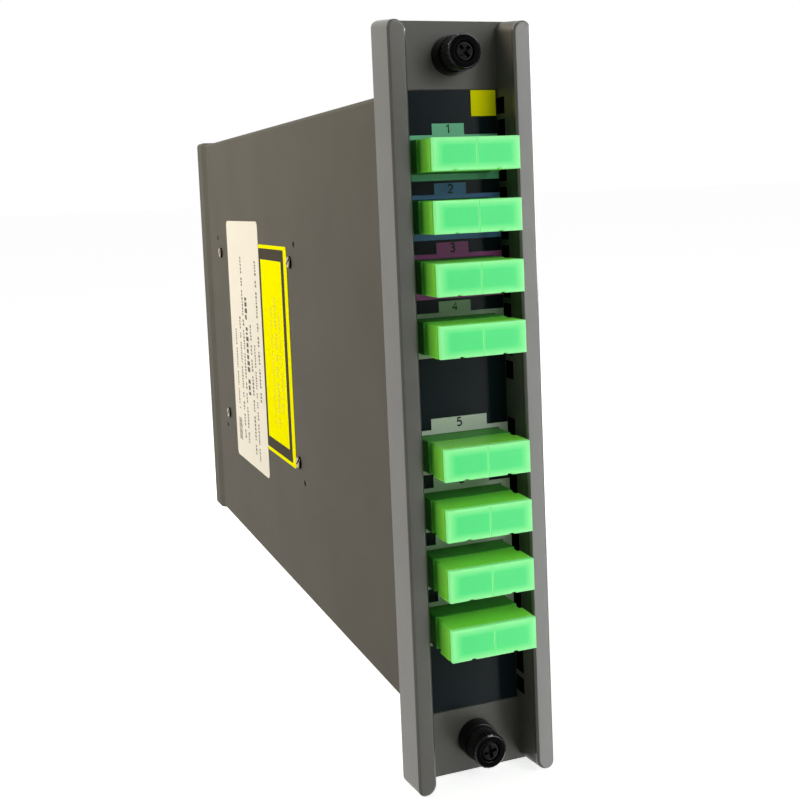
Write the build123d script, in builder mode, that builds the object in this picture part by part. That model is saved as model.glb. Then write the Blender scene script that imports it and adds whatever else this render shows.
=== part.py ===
from build123d import *
import os

os.makedirs("parts", exist_ok=True)

# A plug-in module of a fibre rack, in millimetres. X runs across the front, +Y runs back into the
# rack and +Z is up. The pieces are drawn from the middle of the bezel's back face and saved with
# the origin midway between the two captive screws, which stand a little right of that middle.

# Front bezel: a cast channel, two flanges standing forward of a thin web
panel_width = 42.35
panel_depth = 14.0
web_thickness = 2.0
flange_thickness = 5.29
flange_drop = 1.35
end_outer_radius = 2.1
end_inner_radius = 3.1
front_edge_bevel = 0.55
back_edge_bevel = 1.0
end_land = 19.05
pocket_depth = 0.5
seat_depth = 0.3
seat_margin = 0.15

# Notches in the inner walls of the flanges, parted by ribs level with the gaps between the ports
notch_reach = 2.3
notch_front = 6.6
notch_end_margin = 2.4
end_rib_inset = 7.9
rib_thickness = 1.6
blank_wall_above = 2.3
blank_wall_below = 8.2

# Nine places for ports in one column, the middle one left blank
place_count = 9
blank_place = 4
port_pitch = 16.75
first_port_room = 18.7
last_port_room = 27.1

# Duplex adapter and the sleeves inside it
adapter_width = 25.4
adapter_height = 9.25
adapter_length = 27.5
adapter_front = 9.8
adapter_corner = 0.4
adapter_flange_width = 34.8
adapter_flange = 1.8
adapter_screw_spacing = 30.5
cutout_clearance = 0.2
port_spacing = 12.7
port_width = 9.0
port_height = 7.4
adapter_middle_wall = 2.0
key_width = 2.4
key_depth = 0.5
tube_radius = 2.4
tube_length = 12.0
sleeve_radius = 1.6
sleeve_bore_radius = 1.25
sleeve_length = 11.4
sleeve_slit = 0.5
sleeve_clearance = 0.05

# Dust cap
cap_width = 25.5
cap_height = 8.9
cap_neck_width = 23.6
cap_neck_length = 3.6
cap_body_length = 6.2
cap_groove = 0.6
cap_groove_step = 0.35
cap_plate = 1.74
cap_edge_bevel = 0.2
cap_seam = 0.2
cap_foot = 0.7
cap_foot_step = 0.15
cap_notch_spacing = 12.8
cap_notch_width = 1.4
cap_notch_depth = 0.35
plug_length = 7.0
plug_clearance = 0.15
plug_bevel = 0.6

# Face overlay and the labels on it
overlay_thickness = 0.3
overlay_side_gap = 0.185
overlay_end_gap = 0.2
label_thickness = 0.2
label_side_gap = 0.05
label_above = 6.1
label_gap = 0.75
tab_rise = 3.2
narrow_tab = 9.8
wide_tab = 17.4
tab_shift = 0.3
corner_label_width = 7.75
corner_label_height = 7.3
corner_label_side = 0.485

# Captive screws: a collar pressed into the web, and a knob on a long screw that cannot leave it
screw_inset = 9.65
screw_shift = 1.6
collar_radius = 5.5
collar_seat_depth = 1.0
collar_front = 6.3
collar_lip = 0.35
collar_lip_radius = 5.05
cup_radius = 5.2
cup_floor = 1.6
collar_neck_radius = 3.2
collar_bore_radius = 2.7
collar_round = 0.3
knob_radius = 5.0
knob_back = 2.7
knob_length = 10.1
knob_rim_radius = 5.15
knob_rim_length = 0.5
knob_bevel = 0.5
knob_boss_radius = 2.9
knob_boss_length = 0.6
flute_count = 24
flute_radius = 0.4
flute_depth = 0.2
flute_length = 6.2
head_radius = 2.8
head_height = 2.0
head_depth = 0.3
head_clearance = 0.2
head_round = 0.6
cross_width = 1.0
cross_length = 4.0
cross_depth = 1.2
shank_radius = 1.7
shank_clearance = 0.05
thread_radius = 1.5
thread_reach = 11.5
thread_tip_bevel = 0.4
washer_radius = 5.1
washer_bore_radius = 3.0
washer_thickness = 0.6
top_cross_turn = 40.0
bottom_cross_turn = 12.0

# Sheet housing: a folded tray, a cover on the right and a pan at the back
sheet = 1.0
body_width = 40.36
body_top_inset = 20.48
body_bottom_inset = 24.31
body_end = 254.0
flare_start = 239.0
flare_end = 245.0
flare_rise = 1.0
bend_radius = 1.5
sheet_gap = 0.1
front_lip_height = 8.0
front_lip_margin = 3.0
cover_flange = 10.0
cover_flange_start = 3.0
cover_flange_end = 234.0
rear_inset = 0.5
rear_flange = 8.0

# Countersunk screws that hold the bezel, the cover and the rear pan
small_head_radius = 2.2
small_shank_radius = 1.25
small_screw_length = 4.0
socket_radius = 0.9
socket_depth = 0.7
hole_clearance = 0.1
tap_clearance = 0.03
bezel_screw_spacing = 22.0
bezel_screw_inset = 4.0
cover_screw_inset = 6.0
cover_screw_depths = (40.0, 127.0, 214.0)
rear_screw_spacing = 22.0
rear_screw_inset = 4.5

# Pan-head screws that hold the adapters, put in from behind
adapter_head_radius = 1.75
adapter_head_height = 1.2
adapter_shank_radius = 1.0
adapter_shank_length = 2.8
adapter_slot_width = 0.5
adapter_slot_depth = 0.5

# Filter cassette on the left wall, and the four slotted screws that hold it
cassette_y = 157.85
side_screw_spacing_y = 116.7
side_screw_spacing_z = 73.3
spare_hole_spacing_y = 128.5
spare_hole_spacing_z = 86.4
spare_hole_radius = 1.1
side_head_radius = 2.2
side_head_height = 1.0
side_head_bevel = 0.3
side_slot_width = 0.7
side_slot_depth = 0.5
side_screw_length = 4.5
standoff_radius = 3.0
standoff_length = 5.0
spigot_radius = 2.0
rivet_radius = 2.6
rivet_height = 0.4
cassette_length = 136.0
cassette_height = 94.0
cassette_floor = 1.5
cassette_wall = 1.5
cassette_rise = 12.0
cassette_corner = 8.0
lid_thickness = 1.0
lid_lip = 1.5
lid_lip_width = 1.0
spool_radius = 30.0
spool_wall = 1.5
spool_height = 8.0
spool_shift = 26.0
spool_tab = 4.0
filter_count = 8
filter_radius = 2.75
filter_length = 34.0
filter_pitch = 6.6
filter_end = 0.6
filter_shift_y = 40.0
filter_shift_z = -8.0
filter_holder_length = 20.0
filter_holder_rise = 3.6
splice_count = 6
splice_radius = 1.3
splice_length = 40.0
splice_pitch = 3.6
splice_shift_y = 40.0
splice_shift_z = 32.0
splice_holder_length = 12.0
splice_holder_rise = 2.1
holder_floor = 0.8
rest_clearance = 0.04

# Labels on the left wall
film = 0.15
white_label_span = (146.0, 202.5)
white_label_rise = (-51.0, 53.0)
white_label_corner = 2.5
yellow_label_span = (104.0, 145.95)
yellow_label_rise = (-38.2, 44.0)
yellow_label_corner = 1.5

# Sizes that follow from the ones above
pocket_height = (place_count - 1) * port_pitch + first_port_room + last_port_room
panel_height = pocket_height + 2 * end_land
port_middle = (last_port_room - first_port_room) / 2
end_rib_height = pocket_height / 2 - end_rib_inset
blank_wall_top = port_middle + blank_wall_above
blank_wall_bottom = port_middle - blank_wall_below
label_below = port_pitch - label_above - tab_rise - label_gap
screw_height = panel_height / 2 - screw_inset
body_top = panel_height / 2 - body_top_inset
body_bottom = body_bottom_inset - panel_height / 2
channel_width = panel_width - 2 * flange_thickness
half_channel = channel_width / 2
half_body = body_width / 2
body_middle = (body_top + body_bottom) / 2
body_height = body_top - body_bottom
cassette_z = body_middle
pocket_floor = web_thickness - pocket_depth
overlay_front = pocket_floor + overlay_thickness
cap_body_back = adapter_front + cap_neck_length
cap_body_front = cap_body_back + cap_body_length
cap_front = cap_body_front + cap_groove + cap_plate
adapter_back = adapter_front - adapter_length
adapter_middle = (adapter_front + adapter_back) / 2
left_face = -half_body
left_inside = left_face + sheet
cassette_base = left_inside + standoff_length
cassette_top = cassette_base + cassette_floor
port_heights = [
    port_middle + (blank_place - place) * port_pitch
    for place in range(place_count)
    if place != blank_place
]


def front_plane(distance, height=0.0, across=0.0):
    """A plane facing the viewer, this far in front of the bezel's back face."""
    return Plane(origin=(across, -distance, height), x_dir=(1, 0, 0), z_dir=(0, -1, 0))


def left_plane(across, along, height):
    """A plane facing left, with its own x running forwards and its own y running up."""
    return Plane(origin=(across, along, height), x_dir=(0, -1, 0), z_dir=(-1, 0, 0))


def level_plane(across, along, height, facing=1):
    """A level plane facing up (1) or down (-1)."""
    return Plane(origin=(across, along, height), x_dir=(1, 0, 0), z_dir=(0, 0, facing))


def save(part, name):
    """Write a piece, moved so that the origin is midway between the captive screws."""
    piece = part.moved(Location((-screw_shift, 0, 0)))
    piece.label = name
    export_step(piece, f"parts/{name}.step")


def flange_outline(half_height, inset=0.0):
    """The right flange seen from the front, both ends rounded, drawn in all round by an inset."""
    with Locations((half_channel + flange_thickness / 2, 0)):
        Rectangle(flange_thickness - 2 * inset, 2 * half_height - 2 * inset)
    fillet(vertices().sort_by(Axis.X)[-2:], end_outer_radius - inset)
    fillet(vertices().sort_by(Axis.X)[:2], end_inner_radius - inset)


def wall_notches():
    """Top and bottom of each notch in the flange walls, from the highest to the lowest."""
    places = range(place_count - 1)
    ribs = [port_middle + (blank_place - place - 0.5) * port_pitch for place in places]
    ribs = [end_rib_height] + ribs + [-end_rib_height]
    top = pocket_height / 2 - notch_end_margin
    notches = []
    for rib in ribs:
        notches.append((top, rib + rib_thickness / 2))
        top = rib - rib_thickness / 2
    notches.append((top, -pocket_height / 2 + notch_end_margin))
    # The wall is left whole beside the blank place
    upper = [(high, max(low, blank_wall_top)) for high, low in notches if high > blank_wall_top]
    lower = [(min(high, blank_wall_bottom), low) for high, low in notches if low < blank_wall_bottom]
    return upper + lower


def countersunk_holes(plane, spacing, depth):
    """A row of countersunk clearance holes, or one hole where there is no spacing."""
    with Locations(plane):
        with GridLocations(spacing, 0, 2 if spacing else 1, 1):
            CounterSinkHole(
                radius=small_shank_radius + hole_clearance,
                counter_sink_radius=small_head_radius + hole_clearance,
                counter_sink_angle=90,
                depth=depth,
            )


def countersunk_screws(plane, spacing):
    """The screws for such a row, heads flush with the plane and a hexagon socket in each."""
    top_centred = (Align.CENTER, Align.CENTER, Align.MAX)
    with Locations(plane):
        with GridLocations(spacing, 0, 2 if spacing else 1, 1):
            head_height = small_head_radius - small_shank_radius
            Cone(small_shank_radius, small_head_radius, head_height, align=top_centred)
            Cylinder(small_shank_radius, small_screw_length, align=top_centred)
    with BuildSketch(plane) as sockets:
        with GridLocations(spacing, 0, 2 if spacing else 1, 1):
            RegularPolygon(radius=socket_radius, side_count=6)
    extrude(sockets.sketch, amount=-socket_depth, mode=Mode.SUBTRACT)


# The bezel: round-ended flanges that lean in towards the front, joined by the web
with BuildPart() as front_bezel:
    with BuildSketch(front_plane(web_thickness)):
        flange_outline(panel_height / 2)
    with BuildSketch(front_plane(panel_depth - front_edge_bevel)):
        flange_outline(panel_height / 2 - flange_drop)
    with BuildSketch(front_plane(panel_depth)):
        flange_outline(panel_height / 2 - flange_drop, front_edge_bevel)
    loft(ruled=True)
    mirror(about=Plane.YZ)
    with BuildSketch(front_plane(0)):
        RectangleRounded(panel_width, panel_height, end_outer_radius)
    extrude(amount=web_thickness)
    # The long back edges are bevelled towards the housing
    chamfer(faces().sort_by(Axis.Y)[-1].edges().filter_by(Axis.Z), back_edge_bevel)
    # A shallow pocket for the overlay in front and a shallow seat for the housing behind
    with BuildSketch(front_plane(web_thickness)):
        Rectangle(channel_width, pocket_height)
    extrude(amount=-pocket_depth, mode=Mode.SUBTRACT)
    with BuildSketch(front_plane(0, body_middle)):
        Rectangle(panel_width, body_height + 2 * seat_margin)
    extrude(amount=seat_depth, mode=Mode.SUBTRACT)
    for high, low in wall_notches():
        with BuildSketch(front_plane(pocket_floor, (high + low) / 2)):
            Rectangle(channel_width + 2 * notch_reach, high - low)
        extrude(amount=notch_front - pocket_floor, mode=Mode.SUBTRACT)
    # Windows for the adapters, with tapped holes beside each one
    for height in port_heights:
        with BuildSketch(front_plane(pocket_floor, height)):
            Rectangle(adapter_width + 2 * cutout_clearance, adapter_height + 2 * cutout_clearance)
            with GridLocations(adapter_screw_spacing, 0, 2, 1):
                Circle(adapter_shank_radius + tap_clearance)
        extrude(amount=-pocket_floor, mode=Mode.SUBTRACT)
    # Stepped holes for the collars of the captive screws
    with Locations(front_plane(web_thickness, 0, screw_shift)):
        with GridLocations(0, 2 * screw_height, 1, 2):
            CounterBoreHole(
                radius=collar_neck_radius,
                counter_bore_radius=collar_radius,
                counter_bore_depth=collar_seat_depth,
                depth=web_thickness,
            )
    # Holes under the overlay for the screws into the housing's front lips
    lip_screw_top = body_top - sheet - bezel_screw_inset
    lip_screw_bottom = body_bottom + sheet + bezel_screw_inset
    for height in (lip_screw_top, lip_screw_bottom):
        countersunk_holes(front_plane(pocket_floor, height), bezel_screw_spacing, pocket_floor)
save(front_bezel.part, "front_bezel")


def housing_outline(y, rise, left_inset, right_inset, end_inset, round_left, round_right):
    """One cross-section of the housing, widened by the rise and drawn in by the insets."""
    left = -half_body - rise + left_inset
    right = half_body + rise - right_inset
    with BuildSketch(front_plane(-y, body_middle)) as outline:
        with Locations(((left + right) / 2, 0)):
            Rectangle(right - left, body_height + 2 * rise - 2 * end_inset)
        by_x = vertices().sort_by(Axis.X)
        left_corners = by_x[:2]
        right_corners = by_x[2:]
        if round_left:
            fillet(left_corners, round_left)
        if round_right:
            fillet(right_corners, round_right)
    return outline.sketch


def housing_block(*shape, start=-seat_depth, mode=Mode.ADD):
    """The straight length, the short flare and the wider rear end, one behind the other."""
    narrow = housing_outline(start, 0, *shape)
    extrude(narrow, amount=-(flare_start - start), mode=mode)
    flare_front = housing_outline(flare_start, 0, *shape)
    flare_back = housing_outline(flare_end, flare_rise, *shape)
    loft([flare_front, flare_back], ruled=True, mode=mode)
    extrude(flare_back, amount=-(body_end - flare_end), mode=mode)


# The tray: left wall, top and bottom folded from one sheet and open on the right
inner_bend = bend_radius - sheet
cover_screw_x = half_body - cover_screw_inset
rear_screw_y = body_end - rear_screw_inset
with BuildPart() as housing_tray:
    housing_block(0, 0, 0, bend_radius, 0)
    housing_block(sheet, -sheet, sheet, inner_bend, 0, mode=Mode.SUBTRACT)
    # Lips folded down and up at the front, which the bezel is screwed to
    lip_width = body_width - 2 * sheet - 2 * front_lip_margin
    for edge, turn in ((body_top - sheet, -1), (body_bottom + sheet, 1)):
        with BuildSketch(front_plane(seat_depth, edge + turn * front_lip_height / 2)):
            Rectangle(lip_width, front_lip_height)
        extrude(amount=-sheet)
        with BuildSketch(front_plane(seat_depth, edge + turn * bezel_screw_inset)):
            with GridLocations(bezel_screw_spacing, 0, 2, 1):
                Circle(small_shank_radius + tap_clearance)
        extrude(amount=-sheet, mode=Mode.SUBTRACT)
    # Eight holes in the left wall: four for the cassette's screws and four spare
    with BuildSketch(left_plane(left_face, cassette_y, cassette_z)):
        with GridLocations(side_screw_spacing_y, side_screw_spacing_z, 2, 2):
            Circle(small_shank_radius + hole_clearance)
        with GridLocations(spare_hole_spacing_y, spare_hole_spacing_z, 2, 2):
            Circle(spare_hole_radius)
    extrude(amount=-sheet, mode=Mode.SUBTRACT)
    # Countersunk holes along the top and the bottom
    for outside, facing in ((body_top, 1), (body_bottom, -1)):
        for y in cover_screw_depths:
            countersunk_holes(level_plane(cover_screw_x, y, outside, facing), 0, sheet)
        rear_plane = level_plane(0, rear_screw_y, outside + facing * flare_rise, facing)
        countersunk_holes(rear_plane, rear_screw_spacing, sheet)
save(housing_tray.part, "housing_tray")

# The cover: the right wall, with a flange along each long edge that lies inside the tray
cover_inset = sheet + sheet_gap
cover_left = body_width - cover_flange
with BuildPart() as housing_cover:
    housing_block(cover_left, 0, cover_inset, 0, bend_radius)
    housing_block(cover_left - sheet, sheet, cover_inset + sheet, 0, inner_bend, mode=Mode.SUBTRACT)
    # The flanges start behind the tray's front lips and stop short of the flare
    beside_wall = (cover_left - sheet, sheet, 0, 0, 0)
    front_cut = housing_outline(-seat_depth, 0, *beside_wall)
    extrude(front_cut, amount=-(cover_flange_start + seat_depth), mode=Mode.SUBTRACT)
    housing_block(*beside_wall, start=cover_flange_end, mode=Mode.SUBTRACT)
    for outside, facing in ((body_top - cover_inset, 1), (body_bottom + cover_inset, -1)):
        for y in cover_screw_depths:
            with BuildSketch(level_plane(cover_screw_x, y, outside, facing)):
                Circle(small_shank_radius + tap_clearance)
            extrude(amount=-sheet, mode=Mode.SUBTRACT)
save(housing_cover.part, "housing_cover")

# The rear pan: a plate whose four short flanges nest in the flared end of the housing
pan_width = body_width + 2 * flare_rise - 2 * cover_inset
pan_height = body_height + 2 * flare_rise - 2 * cover_inset
pan_back = body_end - rear_inset
with BuildPart() as rear_pan:
    with BuildSketch(front_plane(-pan_back, body_middle)):
        RectangleRounded(pan_width, pan_height, bend_radius)
    extrude(amount=rear_flange)
    with BuildSketch(front_plane(-pan_back + sheet, body_middle)):
        RectangleRounded(pan_width - 2 * sheet, pan_height - 2 * sheet, inner_bend)
    extrude(amount=rear_flange, mode=Mode.SUBTRACT)
    with BuildSketch(level_plane(0, rear_screw_y, body_middle)):
        with GridLocations(rear_screw_spacing, 0, 2, 1):
            Circle(small_shank_radius + tap_clearance)
    extrude(amount=pan_height, both=True, mode=Mode.SUBTRACT)
save(rear_pan.part, "rear_pan")

# The overlay: one dark sheet in the bezel's pocket with a window for each adapter
with BuildPart() as face_overlay:
    with BuildSketch(front_plane(pocket_floor)):
        Rectangle(channel_width - 2 * overlay_side_gap, pocket_height - 2 * overlay_end_gap)
        with Locations([(0, height) for height in port_heights]):
            Rectangle(
                adapter_width + 2 * cutout_clearance,
                adapter_height + 2 * cutout_clearance,
                mode=Mode.SUBTRACT,
            )
    extrude(amount=overlay_thickness)
save(face_overlay.part, "face_overlay")

# One label around each adapter, with a tab on top for the port's number
label_width = channel_width - 2 * overlay_side_gap - 2 * label_side_gap
for number, height in enumerate(port_heights, start=1):
    tab_width = narrow_tab if number <= blank_place else wide_tab
    with BuildPart() as port_label:
        with BuildSketch(front_plane(overlay_front, height)):
            with Locations((0, (label_above - label_below) / 2)):
                Rectangle(label_width, label_above + label_below)
            with Locations((tab_shift, label_above + tab_rise / 2)):
                Rectangle(tab_width, tab_rise)
            Rectangle(
                adapter_width + 2 * cutout_clearance,
                adapter_height + 2 * cutout_clearance,
                mode=Mode.SUBTRACT,
            )
        extrude(amount=label_thickness)
    save(port_label.part, f"port_label_{number}")

# A small plain label in the upper right corner of the overlay
corner_x = half_channel - corner_label_side - corner_label_width / 2
corner_z = pocket_height / 2 - overlay_end_gap - corner_label_height / 2
with BuildPart() as corner_label:
    with BuildSketch(front_plane(overlay_front)):
        with Locations((corner_x, corner_z)):
            Rectangle(corner_label_width, corner_label_height)
    extrude(amount=label_thickness)
save(corner_label.part, "corner_label")

# The duplex adapter: two sockets in each end, a flange behind the web, and a tube on each side of
# the middle wall that holds an alignment sleeve
socket_length = (adapter_length - adapter_middle_wall) / 2
for number, height in enumerate(port_heights, start=1):
    with BuildPart() as duplex_adapter:
        with BuildSketch(front_plane(adapter_back, height)):
            RectangleRounded(adapter_width, adapter_height, adapter_corner)
        extrude(amount=adapter_length)
        with BuildSketch(front_plane(seat_depth, height)):
            Rectangle(adapter_flange_width, adapter_height)
            with GridLocations(adapter_screw_spacing, 0, 2, 1):
                Circle(adapter_shank_radius + hole_clearance, mode=Mode.SUBTRACT)
        extrude(amount=-adapter_flange)
        for mouth, inward in ((adapter_front, -1), (adapter_back, 1)):
            with BuildSketch(front_plane(mouth, height)):
                with GridLocations(port_spacing, 0, 2, 1):
                    Rectangle(port_width, port_height)
                with Locations((0, port_height / 2)):
                    with GridLocations(port_spacing, 0, 2, 1):
                        Rectangle(key_width, 2 * key_depth)
            extrude(amount=inward * socket_length, mode=Mode.SUBTRACT)
        with BuildSketch(front_plane(adapter_middle - tube_length / 2, height)):
            with GridLocations(port_spacing, 0, 2, 1):
                Circle(tube_radius)
        extrude(amount=tube_length)
        with BuildSketch(front_plane(adapter_middle - tube_length / 2, height)):
            with GridLocations(port_spacing, 0, 2, 1):
                Circle(sleeve_radius + sleeve_clearance)
        extrude(amount=tube_length, mode=Mode.SUBTRACT)
    save(duplex_adapter.part, f"duplex_adapter_{number}")

# The split sleeves in the adapters, two to each
with BuildPart() as split_sleeves:
    for height in port_heights:
        with BuildSketch(front_plane(adapter_middle - sleeve_length / 2, height)):
            with GridLocations(port_spacing, 0, 2, 1):
                Circle(sleeve_radius)
                Circle(sleeve_bore_radius, mode=Mode.SUBTRACT)
            with Locations((0, sleeve_radius)):
                with GridLocations(port_spacing, 0, 2, 1):
                    Rectangle(sleeve_slit, 2 * sleeve_radius, mode=Mode.SUBTRACT)
        extrude(amount=sleeve_length)
save(split_sleeves.part, "split_sleeves")

# The screws that hold the adapters' flanges against the web
adapter_head_base = seat_depth - adapter_flange
adapter_head_end = adapter_head_base - adapter_head_height
with BuildPart() as adapter_screws:
    for height in port_heights:
        with BuildSketch(front_plane(adapter_head_end, height)):
            with GridLocations(adapter_screw_spacing, 0, 2, 1):
                Circle(adapter_head_radius)
        extrude(amount=adapter_head_height)
        with BuildSketch(front_plane(adapter_head_base, height)):
            with GridLocations(adapter_screw_spacing, 0, 2, 1):
                Circle(adapter_shank_radius)
        extrude(amount=adapter_shank_length)
        with BuildSketch(front_plane(adapter_head_end, height)):
            with GridLocations(adapter_screw_spacing, 0, 2, 1):
                Rectangle(2 * adapter_head_radius, adapter_slot_width)
        extrude(amount=adapter_slot_depth, mode=Mode.SUBTRACT)
save(adapter_screws.part, "adapter_screws")

# The dust cap: a narrow neck against the adapter, a body, a groove and a front plate with a seam
# down its middle, and two plugs that fill the mouths of the sockets
for number, height in enumerate(port_heights, start=1):
    with BuildPart() as dust_cap:
        with BuildSketch(front_plane(adapter_front, height)):
            Rectangle(cap_neck_width, cap_height)
        extrude(amount=cap_neck_length)
        with BuildSketch(front_plane(cap_body_back, height)):
            Rectangle(cap_width, cap_height)
            with Locations((0, (cap_foot - cap_height) / 2)):
                Rectangle(cap_width + 2 * cap_foot_step, cap_foot)
        extrude(amount=cap_body_length)
        with BuildSketch(front_plane(cap_body_front, height)):
            Rectangle(cap_width - 2 * cap_groove_step, cap_height - 2 * cap_groove_step)
        extrude(amount=cap_groove)
        with BuildSketch(front_plane(cap_body_front + cap_groove, height)):
            Rectangle(cap_width, cap_height)
            with Locations((0, -cap_height / 2)):
                with GridLocations(cap_notch_spacing, 0, 2, 1):
                    Rectangle(cap_notch_width, 2 * cap_notch_depth, mode=Mode.SUBTRACT)
        extrude(amount=cap_plate)
        chamfer(faces().sort_by(Axis.Y)[0].edges(), cap_edge_bevel)
        with BuildSketch(front_plane(cap_front, height)):
            Rectangle(cap_seam, cap_height)
        extrude(amount=-cap_seam, mode=Mode.SUBTRACT)
        with BuildSketch(front_plane(adapter_front, height)):
            with GridLocations(port_spacing, 0, 2, 1):
                Rectangle(port_width - 2 * plug_clearance, port_height - 2 * plug_clearance)
        extrude(amount=-plug_length)
        plug_ends = faces().sort_by(Axis.Y)[-2:]
        chamfer(plug_ends.edges(), plug_bevel)
    save(dust_cap.part, f"dust_cap_{number}")

# The captive screws, both pushed nearly home, right of the middle. Each piece is turned
# about the screw's axis from a half profile of points: radius and place along Y.
for place, height, cross_turn in (
    ("top", screw_height, top_cross_turn),
    ("bottom", -screw_height, bottom_cross_turn),
):
    turning_axis = Axis((screw_shift, 0, height), (0, 1, 0))
    with BuildPart() as screw_collar:
        collar_back = web_thickness - collar_seat_depth
        lip_back = collar_front - collar_lip
        with BuildSketch(level_plane(screw_shift, 0, height)):
            with BuildLine():
                Polyline(
                    (collar_bore_radius, 0),
                    (collar_neck_radius, 0),
                    (collar_neck_radius, -collar_back),
                    (collar_radius, -collar_back),
                    (collar_radius, -collar_front),
                    (collar_lip_radius, -collar_front),
                    (collar_lip_radius, -lip_back),
                    (cup_radius, -lip_back),
                    (cup_radius, -cup_floor),
                    (collar_bore_radius, -cup_floor),
                    close=True,
                )
            make_face()
        revolve(axis=turning_axis)
        outer_rim = edges().filter_by(GeomType.CIRCLE).group_by(Axis.Y)[0].sort_by(SortBy.RADIUS)[-1]
        fillet(outer_rim, collar_round)
    save(screw_collar.part, f"screw_collar_{place}")

    boss_end = knob_back - knob_boss_length
    with BuildPart() as slip_washer:
        with BuildSketch(front_plane(knob_back - washer_thickness, height, screw_shift)):
            Circle(washer_radius)
            Circle(washer_bore_radius, mode=Mode.SUBTRACT)
        extrude(amount=washer_thickness)
    save(slip_washer.part, f"slip_washer_{place}")

    knob_front = knob_back + knob_length
    recess_floor = knob_front - head_depth - head_height
    rim_front = knob_back + knob_rim_length
    with BuildPart() as thumb_knob:
        with BuildSketch(level_plane(screw_shift, 0, height)):
            with BuildLine():
                Polyline(
                    (shank_radius + shank_clearance, -boss_end),
                    (knob_boss_radius, -boss_end),
                    (knob_boss_radius, -knob_back),
                    (knob_rim_radius, -knob_back),
                    (knob_rim_radius, -rim_front),
                    (knob_radius, -rim_front),
                    (knob_radius, -knob_front + knob_bevel),
                    (knob_radius - knob_bevel, -knob_front),
                    (head_radius + head_clearance, -knob_front),
                    (head_radius + head_clearance, -recess_floor),
                    (shank_radius + shank_clearance, -recess_floor),
                    close=True,
                )
            make_face()
        revolve(axis=turning_axis)
        with BuildSketch(front_plane(knob_front, height, screw_shift)):
            with PolarLocations(knob_radius + flute_radius - flute_depth, flute_count):
                Circle(flute_radius)
        extrude(amount=-flute_length, mode=Mode.SUBTRACT)
    save(thumb_knob.part, f"thumb_knob_{place}")

    head_front = recess_floor + head_height
    thread_end = knob_back - thread_reach
    with BuildPart() as captive_screw:
        with BuildSketch(level_plane(screw_shift, 0, height)):
            with BuildLine():
                Polyline(
                    (0, -head_front),
                    (head_radius, -head_front),
                    (head_radius, -recess_floor),
                    (shank_radius, -recess_floor),
                    (shank_radius, -boss_end),
                    (thread_radius, -boss_end),
                    (thread_radius, -thread_end - thread_tip_bevel),
                    (thread_radius - thread_tip_bevel, -thread_end),
                    (0, -thread_end),
                    close=True,
                )
            make_face()
        revolve(axis=turning_axis)
        fillet(edges().filter_by(GeomType.CIRCLE).sort_by(Axis.Y)[0], head_round)
        with BuildSketch(front_plane(head_front, height, screw_shift)):
            Rectangle(cross_length, cross_width, rotation=cross_turn)
            Rectangle(cross_width, cross_length, rotation=cross_turn)
        extrude(amount=-cross_depth, mode=Mode.SUBTRACT)
    save(captive_screw.part, f"captive_screw_{place}")

# The countersunk screws of the bezel, of the cover and of the rear pan
with BuildPart() as bezel_screws:
    for height in (lip_screw_top, lip_screw_bottom):
        countersunk_screws(front_plane(pocket_floor, height), bezel_screw_spacing)
save(bezel_screws.part, "bezel_screws")

with BuildPart() as cover_screws:
    for outside, facing in ((body_top, 1), (body_bottom, -1)):
        for y in cover_screw_depths:
            countersunk_screws(level_plane(cover_screw_x, y, outside, facing), 0)
save(cover_screws.part, "cover_screws")

with BuildPart() as rear_screws:
    for outside, facing in ((body_top + flare_rise, 1), (body_bottom - flare_rise, -1)):
        countersunk_screws(level_plane(0, rear_screw_y, outside, facing), rear_screw_spacing)
save(rear_screws.part, "rear_screws")

# The slotted screws that show on the left wall, and the riveted standoffs they run into
with BuildPart() as side_screws:
    with BuildSketch(left_plane(left_face, cassette_y, cassette_z)):
        with GridLocations(side_screw_spacing_y, side_screw_spacing_z, 2, 2):
            Circle(side_head_radius)
    extrude(amount=side_head_height)
    chamfer(edges().filter_by(GeomType.CIRCLE).group_by(Axis.X)[0], side_head_bevel)
    with BuildSketch(left_plane(left_face, cassette_y, cassette_z)):
        with GridLocations(side_screw_spacing_y, side_screw_spacing_z, 2, 2):
            Circle(small_shank_radius)
    extrude(amount=-side_screw_length)
    with BuildSketch(left_plane(left_face - side_head_height, cassette_y, cassette_z)):
        with GridLocations(side_screw_spacing_y, side_screw_spacing_z, 2, 2):
            Rectangle(2 * side_head_radius, side_slot_width, rotation=35)
    extrude(amount=-side_slot_depth, mode=Mode.SUBTRACT)
save(side_screws.part, "side_screws")

with BuildPart() as standoffs:
    for radius, start, length, mode in (
        (standoff_radius, left_inside, standoff_length, Mode.ADD),
        (spigot_radius, cassette_base, cassette_floor, Mode.ADD),
        (rivet_radius, cassette_top, rivet_height, Mode.ADD),
        (small_shank_radius + tap_clearance, left_inside, standoff_length, Mode.SUBTRACT),
    ):
        with BuildSketch(left_plane(start, cassette_y, cassette_z)):
            with GridLocations(side_screw_spacing_y, side_screw_spacing_z, 2, 2):
                Circle(radius)
        extrude(amount=-length, mode=mode)
save(standoffs.part, "standoffs")

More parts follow.
